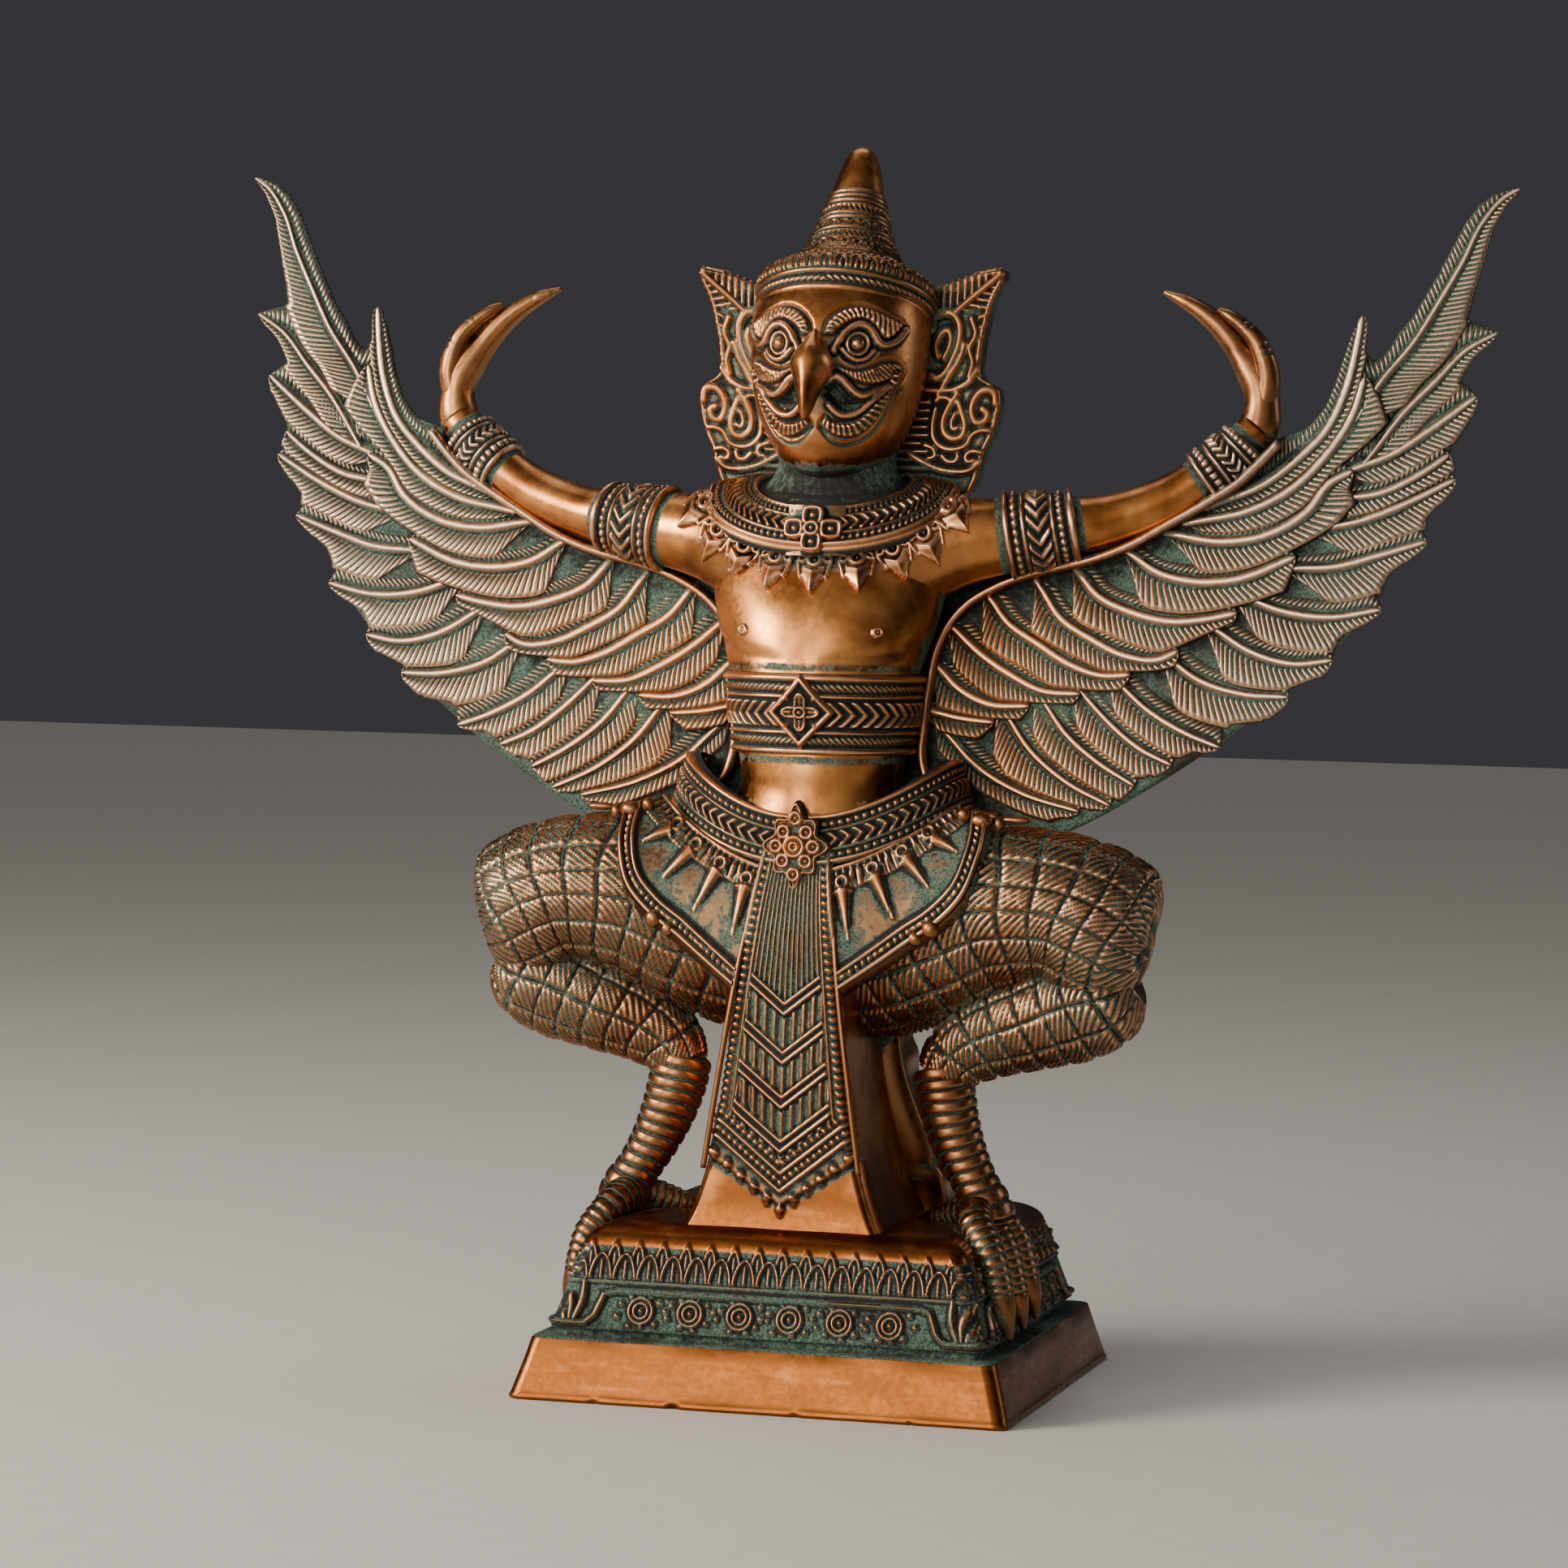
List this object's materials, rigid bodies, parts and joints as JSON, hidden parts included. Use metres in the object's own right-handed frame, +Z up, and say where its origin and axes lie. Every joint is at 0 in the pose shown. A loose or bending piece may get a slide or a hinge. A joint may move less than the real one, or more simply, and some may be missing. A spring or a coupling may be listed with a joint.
{
  "type": "garuda figure",
  "caption": "Cast brass garuda figure with spread wings and raised arms, squatting on a stepped rectangular plinth; stands on its flat underside",
  "frame": {"origin": "the centre of the plinth's flat underside", "axes": "+Z up, -Y the way the figure faces, +X the viewer's right as the figure is seen from the front"},
  "size_m": [0.4826, 0.172, 0.4501],
  "materials": {
    "aged_brass": "antique copper-toned patina, polished on the smooth parts, with green in the recesses"
  },
  "bodies": {
    "root": {"garuda_figure": "aged_brass"}
  },
  "joints": []
}
